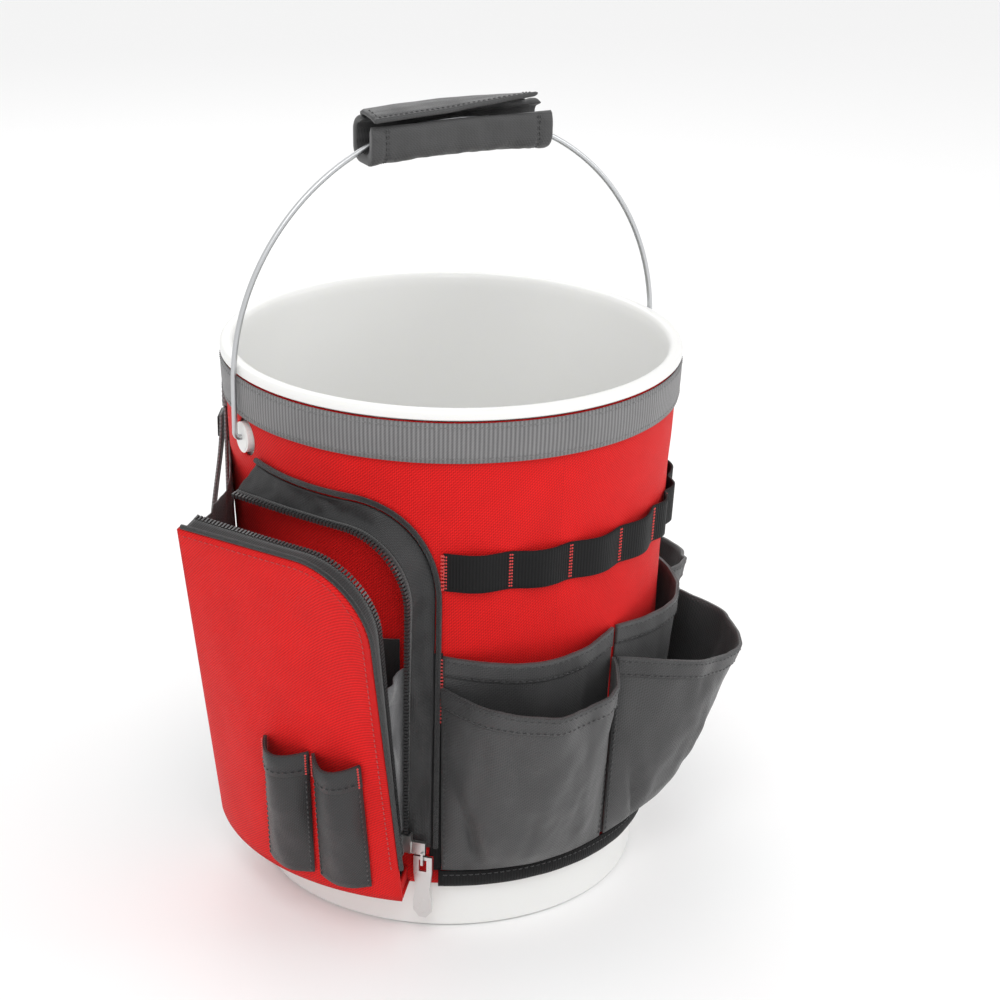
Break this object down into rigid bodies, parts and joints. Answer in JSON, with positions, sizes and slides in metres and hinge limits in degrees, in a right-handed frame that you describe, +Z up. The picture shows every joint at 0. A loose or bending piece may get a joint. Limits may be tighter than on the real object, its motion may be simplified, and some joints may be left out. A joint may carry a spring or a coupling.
{
  "type": "tool bucket organizer",
  "caption": "Round pail with a wire bail and padded grip, wrapped in a fabric tool organizer with open pouches, tool webbing, a tape strap and a zip pocket whose flap swings open",
  "frame": {"origin": "centre of the pail's flat underside", "axes": "+Z up, +X along the bail's hinge axis, -Y the front, between the zip pocket and the front pouch"},
  "size_m": [0.4085, 0.3782, 0.5285],
  "materials": {
    "white_plastic": "white moulded pail, satin",
    "galvanised_wire": "galvanised wire",
    "plated_metal": "plated zip hardware",
    "red_nylon": "red coarse woven nylon",
    "grey_nylon": "dark grey woven nylon",
    "black_nylon": "black binding and lining",
    "grey_webbing": "ribbed grey webbing",
    "dark_webbing": "charcoal webbing",
    "grey_lining": "thin crinkled lining",
    "black_plastic": "moulded buckle and zip teeth"
  },
  "bodies": {
    "body": {"body_zip_tape": "black_nylon", "body_zip_teeth": "black_plastic", "buckle_socket": "black_plastic", "grey_lining": "grey_lining", "gusset_piping": "black_nylon", "hem_binding": "dark_webbing", "inner_pocket": "black_nylon", "left_bellows": "grey_nylon", "pail": "white_plastic", "pouch_front": "grey_nylon", "pouch_left": "grey_nylon", "pouch_rear": "grey_nylon", "pouch_rear_left": "grey_nylon", "pouch_rear_right": "grey_nylon", "pouch_right": "grey_nylon", "strap_anchor": "grey_webbing", "tall_pocket_front": "grey_nylon", "tall_pocket_left": "grey_nylon", "tall_pocket_rear": "grey_nylon", "tall_pocket_rear_left": "grey_nylon", "tall_pocket_rear_right": "grey_nylon", "tall_pocket_right": "grey_nylon", "tool_webbing": "dark_webbing", "top_band": "grey_webbing", "wrap_panel": "red_nylon", "zip_end_panel": "red_nylon", "zip_floor": "red_nylon", "zip_gusset": "grey_nylon", "zip_tab": "red_nylon"},
    "bail": {"bail_wire": "galvanised_wire"},
    "grip": {"grip_sleeve": "grey_nylon"},
    "grip_cover": {"grip_flap": "grey_nylon", "grip_hook_tape": "black_nylon"},
    "flap": {"flap_panel": "red_nylon", "flap_piping": "black_nylon", "flap_zip_tape": "black_nylon", "flap_zip_teeth": "black_plastic", "pen_sleeve_left": "grey_nylon", "pen_sleeve_right": "grey_nylon"},
    "slider": {"zip_slider": "plated_metal"},
    "pull": {"zip_pull": "plated_metal"},
    "strap": {"tape_strap": "grey_webbing", "strap_closure": "black_nylon"},
    "plug": {"buckle_plug": "black_plastic", "band_tail": "grey_webbing"}
  },
  "joints": [
    {"name": "bail_swing", "type": "hinge", "parent": "body", "child": "bail", "pos_m": [0, 0, 0.322], "axis": [1, 0, 0], "range_deg": [-95, 80]},
    {"name": "grip_turn", "type": "hinge", "parent": "bail", "child": "grip", "pos_m": [0, 0, 0.50535], "axis": [1, 0, 0], "continuous": true},
    {"name": "grip_cover_lift", "type": "hinge", "parent": "grip", "child": "grip_cover", "pos_m": [0, 0.00465, 0.5225], "axis": [-1, 0, 0], "range_deg": [-11, 110]},
    {"name": "flap_swing", "type": "hinge", "parent": "body", "child": "flap", "pos_m": [-0.13583, -0.07529, 0.038], "axis": [0.4848, -0.8746, 0], "range_deg": [-7, 0], "deforming": ["left_bellows", "grey_lining"]},
    {"name": "slider_run", "type": "slide", "parent": "body", "child": "slider", "axis": [-0.0547, -0.0993, 0.9936], "range_m": [0, 0.16]},
    {"name": "pull_swing", "type": "hinge", "parent": "slider", "child": "pull", "pos_m": [-0.08124, -0.1215, 0.0611], "axis": [-0.6972, 0.7169, 0], "range_deg": [0, 80]},
    {"name": "strap_swing", "type": "hinge", "parent": "body", "child": "strap", "pos_m": [-0.12827, 0.07708, 0.3174], "axis": [0.515, 0.8572, 0], "range_deg": [0, 75]},
    {"name": "buckle_slide", "type": "slide", "parent": "body", "child": "plug", "axis": [0.8829, -0.4695, 0], "range_m": [0, 0.032]}
  ],
  "couplings": [
    {"joint": "slider_run", "follows": "flap_swing", "m_per_rad": -1.3096}
  ]
}
